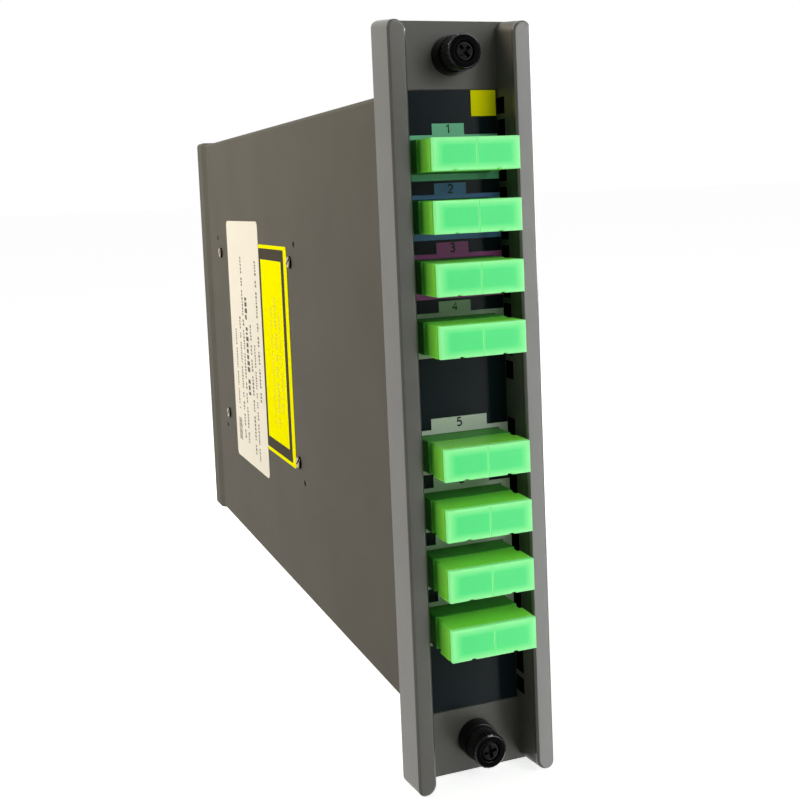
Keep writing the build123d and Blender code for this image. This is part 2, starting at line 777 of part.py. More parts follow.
# The cassette: a moulded tray on the standoffs with a snap-on lid
with BuildPart() as filter_cassette:
    with BuildSketch(left_plane(cassette_base, cassette_y, cassette_z)):
        RectangleRounded(cassette_length, cassette_height, cassette_corner)
    extrude(amount=-cassette_rise)
    with BuildSketch(left_plane(cassette_top, cassette_y, cassette_z)):
        RectangleRounded(
            cassette_length - 2 * cassette_wall,
            cassette_height - 2 * cassette_wall,
            cassette_corner - cassette_wall,
        )
    extrude(amount=-cassette_rise, mode=Mode.SUBTRACT)
    with BuildSketch(left_plane(cassette_base, cassette_y, cassette_z)):
        with GridLocations(side_screw_spacing_y, side_screw_spacing_z, 2, 2):
            Circle(spigot_radius + tap_clearance)
    extrude(amount=-cassette_floor, mode=Mode.SUBTRACT)
save(filter_cassette.part, "filter_cassette")

cassette_mouth = cassette_base + cassette_rise
lip_inset = cassette_wall + sheet_gap
with BuildPart() as cassette_lid:
    with BuildSketch(left_plane(cassette_mouth, cassette_y, cassette_z)):
        RectangleRounded(cassette_length, cassette_height, cassette_corner)
    extrude(amount=-lid_thickness)
    with BuildSketch(left_plane(cassette_mouth, cassette_y, cassette_z)):
        for inset, mode in ((lip_inset, Mode.ADD), (lip_inset + lid_lip_width, Mode.SUBTRACT)):
            RectangleRounded(
                cassette_length - 2 * inset,
                cassette_height - 2 * inset,
                cassette_corner - inset,
                mode=mode,
            )
    extrude(amount=lid_lip)
save(cassette_lid.part, "cassette_lid")

# Inside the cassette: a spool for the spare fibre, a rack of filters and a rack of splices
with BuildPart() as fibre_spool:
    with BuildSketch(left_plane(cassette_top, cassette_y - spool_shift, cassette_z)):
        Circle(spool_radius)
        Circle(spool_radius - spool_wall, mode=Mode.SUBTRACT)
    extrude(amount=-spool_height)
    with BuildSketch(left_plane(cassette_top + spool_height, cassette_y - spool_shift, cassette_z)):
        with PolarLocations(spool_radius - spool_wall + spool_tab / 2, 4):
            Rectangle(spool_tab, 3 * spool_tab)
    extrude(amount=spool_wall)
save(fibre_spool.part, "fibre_spool")


def tube_ends(count, radius, pitch, y, height):
    """Circles for a row of tubes that lie along Y in their rack, seen at this place along Y."""
    with BuildSketch(front_plane(-y, height)) as ends:
        with Locations((cassette_top + holder_floor + radius, 0)):
            with GridLocations(0, pitch, 1, count):
                Circle(radius)
    return ends.sketch


for name, count, radius, pitch, length, block_length, block_rise, shift_y, shift_z in (
    (
        "filter",
        filter_count,
        filter_radius,
        filter_pitch,
        filter_length,
        filter_holder_length,
        filter_holder_rise,
        filter_shift_y,
        filter_shift_z,
    ),
    (
        "splice",
        splice_count,
        splice_radius,
        splice_pitch,
        splice_length,
        splice_holder_length,
        splice_holder_rise,
        splice_shift_y,
        splice_shift_z,
    ),
):
    y = cassette_y + shift_y
    height = cassette_z + shift_z
    with BuildPart() as holder:
        with BuildSketch(left_plane(cassette_top, y, height)):
            Rectangle(block_length, count * pitch)
        extrude(amount=-block_rise)
        grooves = tube_ends(count, radius + rest_clearance, pitch, y - block_length / 2, height)
        extrude(grooves, amount=-block_length, mode=Mode.SUBTRACT)
    save(holder.part, f"{name}_holder")
    with BuildPart() as tubes:
        extrude(tube_ends(count, radius, pitch, y - length / 2, height), amount=-length)
        chamfer(edges().filter_by(GeomType.CIRCLE), filter_end * radius / filter_radius)
    save(tubes.part, f"{name}_tubes")

# The two labels on the left wall
for name, (start, end), (low, high), corner in (
    ("white_label", white_label_span, white_label_rise, white_label_corner),
    ("yellow_label", yellow_label_span, yellow_label_rise, yellow_label_corner),
):
    with BuildPart() as wall_label:
        with BuildSketch(left_plane(left_face, (start + end) / 2, (low + high) / 2)):
            RectangleRounded(end - start, high - low, corner)
        extrude(amount=film)
    save(wall_label.part, name)
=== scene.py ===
import math

import bpy
import numpy as np
from mathutils import Matrix, Vector


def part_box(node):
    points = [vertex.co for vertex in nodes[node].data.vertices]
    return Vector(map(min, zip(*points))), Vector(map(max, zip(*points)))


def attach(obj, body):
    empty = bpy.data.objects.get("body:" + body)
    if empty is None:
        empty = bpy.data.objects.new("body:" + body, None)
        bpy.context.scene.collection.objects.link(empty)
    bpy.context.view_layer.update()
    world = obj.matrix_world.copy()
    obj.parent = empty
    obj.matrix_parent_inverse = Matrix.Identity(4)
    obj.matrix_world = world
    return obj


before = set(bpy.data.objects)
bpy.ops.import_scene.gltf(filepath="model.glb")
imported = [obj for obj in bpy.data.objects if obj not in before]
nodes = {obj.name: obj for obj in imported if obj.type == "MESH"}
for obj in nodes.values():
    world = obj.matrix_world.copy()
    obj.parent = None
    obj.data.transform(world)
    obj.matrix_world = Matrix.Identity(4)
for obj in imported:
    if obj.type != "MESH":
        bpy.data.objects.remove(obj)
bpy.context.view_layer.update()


# Cast bezel
# One aluminium casting, painted in a warm grey semi-gloss enamel with a fine orange-peel grain. Four
# screws from behind hold it to the housing.
def shader(name, color, roughness, specular=0.5, metallic=0.0):
    """A new node material with these values on the unlinked sockets of its surface shader."""
    made = bpy.data.materials.new(name)
    made.use_nodes = True
    surface = made.node_tree.nodes["Principled BSDF"]
    surface.inputs["Base Color"].default_value = (*color, 1.0)
    surface.inputs["Roughness"].default_value = roughness
    surface.inputs["Specular IOR Level"].default_value = specular
    surface.inputs["Metallic"].default_value = metallic
    return made


def grain(made, scale, distance, edge=0.0):
    """Relief of noise in the object's own coordinates, over edges rounded to this radius."""
    tree = made.node_tree
    place = tree.nodes.new("ShaderNodeTexCoord")
    noise = tree.nodes.new("ShaderNodeTexNoise")
    noise.inputs["Scale"].default_value = scale
    noise.inputs["Detail"].default_value = 3.0
    relief = tree.nodes.new("ShaderNodeBump")
    relief.inputs["Strength"].default_value = 1.0
    relief.inputs["Distance"].default_value = distance
    tree.links.new(place.outputs["Object"], noise.inputs["Vector"])
    tree.links.new(noise.outputs["Fac"], relief.inputs["Height"])
    if edge:
        rounding = tree.nodes.new("ShaderNodeBevel")
        rounding.samples = 4
        rounding.inputs["Radius"].default_value = edge
        tree.links.new(rounding.outputs["Normal"], relief.inputs["Normal"])
    tree.links.new(relief.outputs["Normal"], tree.nodes["Principled BSDF"].inputs["Normal"])


def mottle(made, low, high, scale):
    """Base colour that drifts between two colours with slow noise, and the socket that gives it."""
    tree = made.node_tree
    place = tree.nodes.new("ShaderNodeTexCoord")
    noise = tree.nodes.new("ShaderNodeTexNoise")
    noise.inputs["Scale"].default_value = scale
    noise.inputs["Detail"].default_value = 4.0
    ramp = tree.nodes.new("ShaderNodeValToRGB")
    for element, position, color in zip(ramp.color_ramp.elements, (0.35, 0.65), (low, high)):
        element.position = position
        element.color = (*color, 1.0)
    tree.links.new(place.outputs["Object"], noise.inputs["Vector"])
    tree.links.new(noise.outputs["Fac"], ramp.inputs["Fac"])
    tree.links.new(ramp.outputs["Color"], tree.nodes["Principled BSDF"].inputs["Base Color"])
    return ramp.outputs["Color"]


def maths(tree, operation, first, second=None, third=None):
    """The output of a math node, its inputs linked from sockets or set from numbers."""
    node = tree.nodes.new("ShaderNodeMath")
    node.operation = operation
    for index, value in enumerate((first, second, third)):
        if value is None:
            continue
        if isinstance(value, (int, float)):
            node.inputs[index].default_value = value
        else:
            tree.links.new(value, node.inputs[index])
    return node.outputs[0]


def product(tree, *factors):
    """The product of two or more sockets."""
    total = factors[0]
    for factor in factors[1:]:
        total = maths(tree, "MULTIPLY", total, factor)
    return total


def blend(tree, share, first, second):
    """The colour first + share * (second - first), each of the two a socket or three numbers."""
    node = tree.nodes.new("ShaderNodeMix")
    node.data_type = "RGBA"
    tree.links.new(share, node.inputs["Factor"])
    for name, value in (("A", first), ("B", second)):
        if isinstance(value, tuple):
            node.inputs[name].default_value = (*value, 1.0)
        else:
            tree.links.new(value, node.inputs[name])
    return node.outputs["Result"]


def split(tree, kind, output):
    """The X, Y and Z sockets of one output of a new coordinate or geometry node."""
    source = tree.nodes.new(kind)
    parts = tree.nodes.new("ShaderNodeSeparateXYZ")
    tree.links.new(source.outputs[output], parts.inputs["Vector"])
    return parts.outputs["X"], parts.outputs["Y"], parts.outputs["Z"]


def dress(made, *names):
    """Gives these CAD nodes this one material."""
    for name in names:
        mesh = nodes[name].data
        mesh.materials.clear()
        mesh.materials.append(made)


outer_roughness, outer_specular = 0.21, 0.48
bezel_paint = shader("bezel_paint", (0.085, 0.085, 0.077), outer_roughness, outer_specular)
paint_color = mottle(bezel_paint, (0.078, 0.078, 0.07), (0.092, 0.092, 0.084), scale=60.0)
grain(bezel_paint, scale=3600.0, distance=0.000008, edge=0.0003)

# The notches in the inner walls are painted black as shade, from the face of each wall to its solid
# outside.
bezel_low, bezel_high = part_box("front_bezel")
film_low, film_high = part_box("face_overlay")
bezel_middle = (bezel_low.x + bezel_high.x) / 2
film_gap = 0.00025
notch_depth = 0.0026
notch_front = -0.00655
notch_back = -0.0012
notch_shade_black = (0.004, 0.004, 0.004)
wall_face = (film_high.x - film_low.x) / 2 + film_gap
tree = bezel_paint.node_tree
surface = tree.nodes["Principled BSDF"]
x, y, z = split(tree, "ShaderNodeTexCoord", "Object")
across = maths(tree, "ABSOLUTE", maths(tree, "SUBTRACT", x, bezel_middle))
past_face = maths(tree, "GREATER_THAN", across, wall_face)
before_end = maths(tree, "LESS_THAN", across, wall_face + notch_depth)
behind_front = maths(tree, "GREATER_THAN", y, notch_front)
before_back = maths(tree, "LESS_THAN", y, notch_back)
beside_film = maths(tree, "LESS_THAN", maths(tree, "ABSOLUTE", z), film_high.z)
notch = product(tree, past_face, before_end, behind_front, before_back, beside_film)
tree.links.new(blend(tree, notch, paint_color, notch_shade_black), surface.inputs["Base Color"])

# Inside the channel the paint lies thinner and is duller than on the outside and the flange fronts.
flange_front_depth = 0.0015
channel_specular_loss = 0.27
notch_specular_loss = 0.16
channel_roughness_gain = 0.24
behind_rim = maths(tree, "GREATER_THAN", y, bezel_low.y + flange_front_depth)
channel = maths(tree, "MULTIPLY", before_end, behind_rim)
sheen = maths(tree, "MULTIPLY_ADD", channel, -channel_specular_loss, outer_specular)
sheen = maths(tree, "MULTIPLY_ADD", notch, -notch_specular_loss, sheen)
dullness = maths(tree, "MULTIPLY_ADD", channel, channel_roughness_gain, outer_roughness)
tree.links.new(sheen, surface.inputs["Specular IOR Level"])
tree.links.new(dullness, surface.inputs["Roughness"])
dress(bezel_paint, "front_bezel")

# Sheet housing
# The tray, the cover and the rear pan are folded steel sheet with a dark grey powder coat, which
# shows as a dense fine grain. Countersunk screws hold the cover and the pan in the tray.
sheet_paint = shader("sheet_paint", (0.08, 0.078, 0.069), roughness=0.6, specular=0.12)
mottle(sheet_paint, (0.077, 0.075, 0.066), (0.085, 0.083, 0.074), scale=35.0)
grain(sheet_paint, scale=2600.0, distance=0.00002, edge=0.0003)
dress(sheet_paint, "housing_tray", "housing_cover", "rear_pan")

# Face overlay
# A dark navy polycarbonate film, printed on its back. It is cut out around the adapters and glued
# in the bezel's pocket.
overlay_film = shader("overlay_film", (0.006, 0.012, 0.015), roughness=0.2, specular=0.06)
grain(overlay_film, scale=5200.0, distance=0.000006)
dress(overlay_film, "face_overlay")

# Port labels
# One paper label around each adapter, laminated and glued on the overlay. Four are coloured and
# four are light grey, and each has a plain number printed on its tab.
light_grey = (0.6, 0.66, 0.58)
label_colors = [(0.17, 0.56, 0.34), (0.1, 0.22, 0.5), (0.38, 0.085, 0.3), (0.34, 0.43, 0.33)]
label_colors += [light_grey] * 4
label_slots = ["label_teal", "label_blue", "label_purple", "label_sage"] + ["label_grey"] * 4
for number, color in enumerate(label_colors, start=1):
    paper = shader(f"label_paper_{number}", color, roughness=0.4, specular=0.2)
    grain(paper, scale=4000.0, distance=0.000004)
    dress(paper, f"port_label_{number}")

# Strokes of the numbers in a box 0.6 wide and 1 high: polylines, with arcs given as centre, radii
# and two angles in degrees.
digit_strokes = {
    1: [[(0.1, 0.78), (0.36, 1.0), (0.36, 0.0)]],
    2: [[("arc", 0.3, 0.7, 0.27, 0.3, 165, -40), (0.02, 0.0), (0.6, 0.0)]],
    3: [[("arc", 0.28, 0.755, 0.25, 0.245, 150, -90), ("arc", 0.28, 0.26, 0.29, 0.26, 90, -150)]],
    4: [[(0.45, 0.0), (0.45, 1.0), (0.0, 0.3), (0.62, 0.3)]],
    5: [[(0.54, 1.0), (0.12, 1.0), (0.06, 0.53), ("arc", 0.29, 0.32, 0.29, 0.32, 120, -145)]],
    6: [[("arc", 0.34, 0.6, 0.3, 0.4, 50, 180), ("arc", 0.3, 0.31, 0.27, 0.31, 180, 540)]],
    7: [[(0.02, 1.0), (0.58, 1.0), (0.24, 0.0)]],
    8: [[("arc", 0.3, 0.75, 0.24, 0.25, 270, -90)], [("arc", 0.3, 0.26, 0.28, 0.26, 90, 450)]],
}


def stroke_points(stroke):
    """The points of one stroke: p = c + (rx cos a, ry sin a) along each arc, corners as given."""
    runs = []
    for item in stroke:
        if item[0] == "arc":
            _, middle_u, middle_v, radius_u, radius_v, first, last = item
            angle = np.radians(np.linspace(first, last, 25))
            u = middle_u + radius_u * np.cos(angle)
            v = middle_v + radius_v * np.sin(angle)
            runs.append(np.stack([u, v], axis=1))
        else:
            runs.append(np.array([item]))
    return np.concatenate(runs)


def ribbon(points, half):
    """A flat ribbon about a path: left and right = p +- half * m, with m the mitre at each point,
    the sum of both neighbouring normals over one plus their dot product, kept above -0.4."""
    steps = np.diff(points, axis=0)
    steps = steps[np.linalg.norm(steps, axis=1) > 1e-6]
    points = np.vstack([points[:1], points[0] + np.cumsum(steps, axis=0)])
    normals = np.stack([-steps[:, 1], steps[:, 0]], axis=1)
    normals /= np.linalg.norm(normals, axis=1, keepdims=True)
    before = np.vstack([normals[:1], normals])
    after = np.vstack([normals, normals[-1:]])
    dots = np.clip((before * after).sum(axis=1, keepdims=True), -0.4, 1.0)
    mitre = (before + after) / (1.0 + dots)
    sides = np.concatenate([points + half * mitre, points - half * mitre])
    left = np.arange(len(points) - 1)
    right = left + len(points)
    quads = np.stack([left, right, right + 1, left + 1], axis=1)
    return sides, quads


def add_mesh(name, verts, faces, made, body):
    """A new mesh piece at the origin, with its place in its vertices, riding on a CAD body."""
    mesh = bpy.data.meshes.new(name)
    mesh.from_pydata(verts.tolist(), [], faces)
    mesh.update()
    mesh.materials.append(made)
    piece = bpy.data.objects.new(name, mesh)
    bpy.context.scene.collection.objects.link(piece)
    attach(piece, body)


number_ink = shader("number_ink", (0.006, 0.01, 0.011), roughness=0.6, specular=0.1)
digit_height = 0.0023
digit_width = 0.6
stroke_half = 0.1
tab_height = 0.0032
tab_shift = 0.0003
print_lift = 0.00002
for number, slot in enumerate(label_slots, start=1):
    low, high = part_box(f"port_label_{number}")
    tab_middle = (low.x + high.x) / 2 + tab_shift
    base = high.z - tab_height / 2 - digit_height / 2
    verts, faces = np.zeros((0, 3)), []
    for stroke in digit_strokes[number]:
        sides, quads = ribbon(stroke_points(stroke), stroke_half)
        faces += (quads + len(verts)).tolist()
        x = tab_middle + (sides[:, 0] - digit_width / 2) * digit_height
        y = np.full(len(sides), low.y - print_lift)
        z = base + sides[:, 1] * digit_height
        verts = np.vstack([verts, np.stack([x, y, z], axis=1)])
    add_mesh(f"number_{number}", verts, faces, number_ink, "module")

# Corner label
# A small vinyl label, plain yellow from edge to edge. It is glued in the overlay's upper right
# corner.
corner_vinyl = shader("corner_vinyl", (0.96, 0.92, 0.0), roughness=0.4, specular=0.02)
dress(corner_vinyl, "corner_label")

# Duplex adapters
# Green glass-filled thermoplastic mouldings with a satin skin. Two screws from behind hold the
# flange of each one, and white zirconia sleeves sit in their tubes.
adapter_plastic = shader("adapter_plastic", (0.055, 0.31, 0.035), roughness=0.45, specular=0.2)
surface = adapter_plastic.node_tree.nodes["Principled BSDF"]
surface.inputs["Subsurface Weight"].default_value = 0.1
surface.inputs["Subsurface Scale"].default_value = 0.002
grain(adapter_plastic, scale=1500.0, distance=0.000006, edge=0.00025)
dress(adapter_plastic, *[f"duplex_adapter_{number}" for number in range(1, 9)])

zirconia = shader("zirconia", (0.8, 0.79, 0.74), roughness=0.15)
dress(zirconia, "split_sleeves")

# Dust caps
# Soft translucent green mouldings pushed into the adapters, with a yellow-green body behind the front
# plate. Light soaked into them is painted in as paler rims and fold on the plate and an emission glow, and
# painted shade darkens the body towards the adapter.
def span(tree, value, start, end, low=0.0, high=1.0, smooth=False):
    """A value carried from start and end to low and high, level beyond both, straight or eased."""
    node = tree.nodes.new("ShaderNodeMapRange")
    if smooth:
        node.interpolation_type = "SMOOTHSTEP"
    node.inputs["From Min"].default_value = start
    node.inputs["From Max"].default_value = end
    node.inputs["To Min"].default_value = low
    node.inputs["To Max"].default_value = high
    tree.links.new(value, node.inputs["Value"])
    return node.outputs["Result"]


cap_plastic = shader("cap_plastic", (0.2, 0.8, 0.25), roughness=0.32, specular=0.3)
tree = cap_plastic.node_tree
surface = tree.nodes["Principled BSDF"]
surface.inputs["Subsurface Weight"].default_value = 0.4
surface.inputs["Subsurface Scale"].default_value = 0.003
surface.inputs["Subsurface Radius"].default_value = (0.5, 1.0, 0.4)
grain(cap_plastic, scale=900.0, distance=0.00001, edge=0.0003)
cap_low, cap_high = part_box("dust_cap_1")
next_low, next_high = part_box("dust_cap_2")
half_wide = (cap_high.x - cap_low.x) / 2
half_high = (cap_high.z - cap_low.z) / 2
cap_middle_x = (cap_high.x + cap_low.x) / 2
cap_middle_z = (cap_high.z + cap_low.z) / 2
port_pitch = cap_middle_z - (next_high.z + next_low.z) / 2
x, y, z = split(tree, "ShaderNodeTexCoord", "Object")

# Painted light: the front plate is painted palest at its rims and along the fold between its two halves.
rim_light_green = (0.27, 0.92, 0.33)
plate_green = (0.065, 0.72, 0.2)
rim_reach = 0.0034
corner_easing = 0.002
end_rim_share = 1.4
fold_share = 7.0
above_first = maths(tree, "SUBTRACT", z, cap_middle_z)
from_middle = maths(tree, "WRAP", above_first, port_pitch / 2, -port_pitch / 2)
end_room = maths(tree, "SUBTRACT", half_high, maths(tree, "ABSOLUTE", from_middle))
end_room = maths(tree, "MULTIPLY", end_room, end_rim_share)
sideways = maths(tree, "ABSOLUTE", maths(tree, "SUBTRACT", x, cap_middle_x))
side_room = maths(tree, "SUBTRACT", half_wide, sideways)
room = maths(tree, "SMOOTH_MIN", side_room, end_room, corner_easing)
room = maths(tree, "MINIMUM", room, maths(tree, "MULTIPLY", sideways, fold_share))
inwards = span(tree, room, 0.0, rim_reach, smooth=True)
plate_color = blend(tree, inwards, rim_light_green, plate_green)

# Painted shade: the body behind the plate is darkened towards the adapter, and the step between them
# carries a dark painted line of shade.
body_green = (0.26, 0.9, 0.08)
shaded_green = (0.15, 0.6, 0.05)
step_shade_green = (0.02, 0.1, 0.01)
plate_thickness = 0.00175
step_half = 0.00015
step_shade_core, step_shade_edge, step_shade_share = 0.00014, 0.00034, 0.85
shade_from, shade_to = 0.004, 0.012
step_y = cap_low.y + plate_thickness
behind = span(tree, y, step_y - step_half, step_y + step_half)
depth = span(tree, y, cap_low.y + shade_from, cap_low.y + shade_to)
cap_color = blend(tree, behind, plate_color, blend(tree, depth, body_green, shaded_green))
from_step = maths(tree, "ABSOLUTE", maths(tree, "SUBTRACT", y, step_y))
step_shade = span(tree, from_step, step_shade_core, step_shade_edge, low=step_shade_share, high=0.0)
cap_color = blend(tree, step_shade, cap_color, step_shade_green)
tree.links.new(cap_color, surface.inputs["Base Color"])

# Painted light: an emission glow stands in for light soaked into the moulding, stronger at the plate than
# at the body.
plate_painted_glow = 0.32
painted_glow_loss = 0.24
painted_glow = maths(tree, "MULTIPLY_ADD", behind, -painted_glow_loss, plate_painted_glow)
tree.links.new(cap_color, surface.inputs["Emission Color"])
tree.links.new(painted_glow, surface.inputs["Emission Strength"])
dress(cap_plastic, *[f"dust_cap_{number}" for number in range(1, 9)])

# Captive screws
# A black anodised collar is pressed into the web. A black moulded knob sits on an M3 steel screw
# with a cross slot, and both slide and turn in the collar over a thin nylon washer.
collar_finish = shader("collar_finish", (0.005, 0.005, 0.006), roughness=0.2, specular=0.15)
grain(collar_finish, scale=2500.0, distance=0.000003, edge=0.0002)
dress(collar_finish, "screw_collar_top", "screw_collar_bottom")

# The knob's front face is matt and its side is glossy.
knob_plastic = shader("knob_plastic", (0.003, 0.003, 0.004), roughness=0.1)
tree = knob_plastic.node_tree
front_specular, side_specular = 0.02, 0.55
front_facing, side_facing = -0.9, -0.6
_, facing, _ = split(tree, "ShaderNodeNewGeometry", "Normal")
sheen = span(tree, facing, front_facing, side_facing, low=front_specular, high=side_specular)
tree.links.new(sheen, tree.nodes["Principled BSDF"].inputs["Specular IOR Level"])
grain(knob_plastic, scale=1200.0, distance=0.000003, edge=0.0004)
dress(knob_plastic, "thumb_knob_top", "thumb_knob_bottom")

# The screw and its rolled thread are blackened steel.
screw_finish = shader("screw_finish", (0.004, 0.004, 0.005), roughness=0.25, specular=0.04)
grain(screw_finish, scale=2200.0, distance=0.000004, edge=0.0001)
dress(screw_finish, "captive_screw_top", "captive_screw_bottom")


def thread_mesh(height, low_y, high_y, root, depth, pitch):
    """The rolled thread, a tube closed at both ends around an axis along Y at this height. At angle a
    r = root + depth * taper * ridge, with ridge = 1 - |2 frac(a / 2 pi - y / pitch) - 1|, and with
    taper going from 0 to 1 within one pitch of each end."""
    around, along = 48, 150
    turn = np.arange(around)[None, :] / around
    y = np.linspace(low_y, high_y, along)[:, None]
    ridge = 1.0 - np.abs(2.0 * np.mod(turn - y / pitch, 1.0) - 1.0)
    taper = np.clip(np.minimum(y - low_y, high_y - y) / pitch, 0.0, 1.0)
    radius = root + depth * taper * ridge
    angle = 2.0 * math.pi * turn
    rings = np.stack([radius * np.cos(angle), y + 0.0 * angle, height + radius * np.sin(angle)], axis=2)
    ends = [[0.0, low_y, height], [0.0, high_y, height]]
    verts = np.vstack([rings.reshape(-1, 3), ends])
    column = np.arange(around)
    after = np.roll(column, -1)
    row = around * np.arange(along - 1)[:, None]
    quads = np.stack([row + column, row + around + column, row + around + after, row + after], axis=2)
    last_row = around * (along - 1)
    low_end = np.full(around, around * along)
    low_fan = np.stack([low_end, column, after], axis=1)
    high_fan = np.stack([low_end + 1, last_row + after, last_row + column], axis=1)
    return verts, quads.reshape(-1, 4).tolist() + low_fan.tolist() + high_fan.tolist()


tip_bevel = 0.00045
thread_length = 0.0068
thread_root = 0.00146
thread_depth = 0.00014
thread_pitch = 0.0005
for end in ("top", "bottom"):
    knob_low, knob_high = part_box(f"thumb_knob_{end}")
    height = (knob_low.z + knob_high.z) / 2
    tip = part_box(f"captive_screw_{end}")[1].y - tip_bevel
    verts, faces = thread_mesh(height, tip - thread_length, tip, thread_root, thread_depth, thread_pitch)
    add_mesh(f"screw_thread_{end}", verts, faces, screw_finish, f"screw_{end}")

nylon = shader("nylon", (0.62, 0.62, 0.58), roughness=0.4)
dress(nylon, "slip_washer_top", "slip_washer_bottom")

# Small screws and standoffs
# Blackened steel screws close the housing, and zinc-plated ones hold the adapters. Four slotted
# screws through the left wall hold the turned brass standoffs behind it.
black_steel = shader("black_steel", (0.015, 0.015, 0.016), roughness=0.3, metallic=0.6)
grain(black_steel, scale=2600.0, distance=0.000004, edge=0.0001)
dress(black_steel, "bezel_screws", "cover_screws", "rear_screws")

bright_steel = shader("bright_steel", (0.62, 0.6, 0.55), roughness=0.28, metallic=1.0)
grain(bright_steel, scale=3000.0, distance=0.000004, edge=0.00015)
dress(bright_steel, "adapter_screws", "filter_tubes")

# The slotted screws are steel, coloured by the direction of each face: a painted bright lit colour on
# their outer faces and painted shade, near black, on their sides.
lit_face_color = (0.45, 0.43, 0.4)
shaded_side_black = (0.006, 0.006, 0.006)
lit_face_specular = 0.3
lit_from, lit_to = -0.6, -0.9
side_steel = shader("side_steel", lit_face_color, roughness=0.4)
tree = side_steel.node_tree
surface = tree.nodes["Principled BSDF"]
facing, _, _ = split(tree, "ShaderNodeNewGeometry", "Normal")
lit_share = span(tree, facing, lit_from, lit_to)
tree.links.new(blend(tree, lit_share, shaded_side_black, lit_face_color), surface.inputs["Base Color"])
tree.links.new(maths(tree, "MULTIPLY", lit_share, lit_face_specular), surface.inputs["Specular IOR Level"])
grain(side_steel, scale=3000.0, distance=0.000004)
dress(side_steel, "side_screws")

brass = shader("brass", (0.6, 0.42, 0.16), roughness=0.25, metallic=1.0)
dress(brass, "standoffs")

# Labels on the left wall
# A cream laminated paper label, and beside it a clear label with a yellow printed line around its
# edge and a yellow field. Both are glued to the painted wall.
cream_paper = shader("cream_paper", (0.79, 0.8, 0.8), roughness=0.6, specular=0.1)
grain(cream_paper, scale=1800.0, distance=0.000004)
dress(cream_paper, "white_label")

# The clear band between the line and the field shows the wall, and it runs out at the rear edge.
print_yellow = (0.88, 0.9, 0.0)
wall_grey = (0.074, 0.072, 0.063)
line_side, line_front = 0.0014, 0.0042
field_side, field_front, field_rear = 0.0058, 0.0082, 0.0028
past_the_edge = 1.0
yellow_print = shader("yellow_print", print_yellow, roughness=0.6, specular=0.0)
tree = yellow_print.node_tree
_, y, z = split(tree, "ShaderNodeTexCoord", "Object")


def inside(low_y, high_y, low_z, high_z):
    """1 within this rectangle of the wall and 0 outside it."""
    after_low_y = maths(tree, "GREATER_THAN", y, low_y)
    before_high_y = maths(tree, "LESS_THAN", y, high_y)
    above_low_z = maths(tree, "GREATER_THAN", z, low_z)
    below_high_z = maths(tree, "LESS_THAN", z, high_z)
    return product(tree, after_low_y, before_high_y, above_low_z, below_high_z)


low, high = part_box("yellow_label")
band = inside(low.y + line_front, high.y + past_the_edge, low.z + line_side, high.z - line_side)
field = inside(low.y + field_front, high.y - field_rear, low.z + field_side, high.z - field_side)
clear_part = maths(tree, "SUBTRACT", band, field)
label_color = blend(tree, clear_part, print_yellow, wall_grey)
tree.links.new(label_color, tree.nodes["Principled BSDF"].inputs["Base Color"])
dress(yellow_print, "yellow_label")


def wall_print(node, spans):
    """Flat rectangles just proud of a wall label, facing -X. Each span is the high and the low y of
    one rectangle and its high and low z, and its corners go round from high y and high z."""
    high_y, low_y, high_z, low_z = np.array(spans).T
    y = np.stack([high_y, high_y, low_y, low_y], axis=1).ravel()
    z = np.stack([high_z, low_z, low_z, high_z], axis=1).ravel()
    x = np.full(len(y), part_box(node)[0].x - print_lift)
    return np.stack([x, y, z], axis=1), np.arange(len(y)).reshape(-1, 4).tolist()


tick_widths = (0.22, 0.5)
tick_heights = (0.7, 1.0)
tick_gap = 0.18
word_gap = 0.6


def print_rows(node, rows, seed):
    """The spans of rows of small ticks on a wall label, in words of 2 to 8 ticks of random width.
    A row is its share of the way from the rear edge, its two ends along Z and its height, of which
    the widths, heights and gaps above are shares."""
    rng = np.random.default_rng(seed)
    low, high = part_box(node)
    spans = []
    for share, top, bottom, height in rows:
        y = high.y - share * (high.y - low.y)
        z = top
        while z > bottom:
            for _ in range(rng.integers(2, 9)):
                width = height * rng.uniform(*tick_widths)
                tall = height * rng.uniform(*tick_heights)
                if z - width < bottom:
                    break
                spans.append((y, y - tall, z, z - width))
                z -= width + height * tick_gap
            z -= height * word_gap
    return spans


ink_grey = shader("ink_grey", (0.13, 0.11, 0.1), roughness=0.6)
white_rows = [
    (0.14, 0.006, -0.030, 0.0020),
    (0.29, 0.012, -0.042, 0.0024),
    (0.40, 0.038, -0.044, 0.0024),
    (0.62, 0.010, -0.046, 0.0026),
    (0.73, 0.002, -0.047, 0.0022),
    (0.85, 0.037, -0.022, 0.0026),
]
verts, faces = wall_print("white_label", print_rows("white_label", white_rows, seed=4))
add_mesh("white_label_print", verts, faces, ink_grey, "module")

# One bold row, and a block of upright bars of random width near the label's lower end.
ink_dark = shader("ink_dark", (0.035, 0.03, 0.028), roughness=0.6)
bold_row = (0.49, 0.021, -0.021, 0.0042)
spans = print_rows("white_label", [bold_row], seed=9)
bars_share, bars_top = 0.1, -0.0335
bar_count, bar_length, bar_gap = 15, 0.0055, 0.0003
thin_bar, thick_bar = 0.00018, 0.0006
low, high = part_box("white_label")
rear = high.y - bars_share * (high.y - low.y)
widths = np.random.default_rng(2).uniform(thin_bar, thick_bar, bar_count)
tops = bars_top + (widths + bar_gap) - np.cumsum(widths + bar_gap)
spans += [(rear, rear - bar_length, top, top - width) for top, width in zip(tops, widths)]
verts, faces = wall_print("white_label", spans)
add_mesh("white_label_bold_print", verts, faces, ink_dark, "module")

ink_olive = shader("ink_olive", (0.68, 0.63, 0.0), roughness=0.6)
yellow_rows = [
    (0.34, 0.020, -0.026, 0.0016),
    (0.48, 0.024, -0.028, 0.0028),
    (0.64, 0.018, -0.020, 0.0018),
]
verts, faces = wall_print("yellow_label", print_rows("yellow_label", yellow_rows, seed=6))
add_mesh("yellow_label_print", verts, faces, ink_olive, "module")

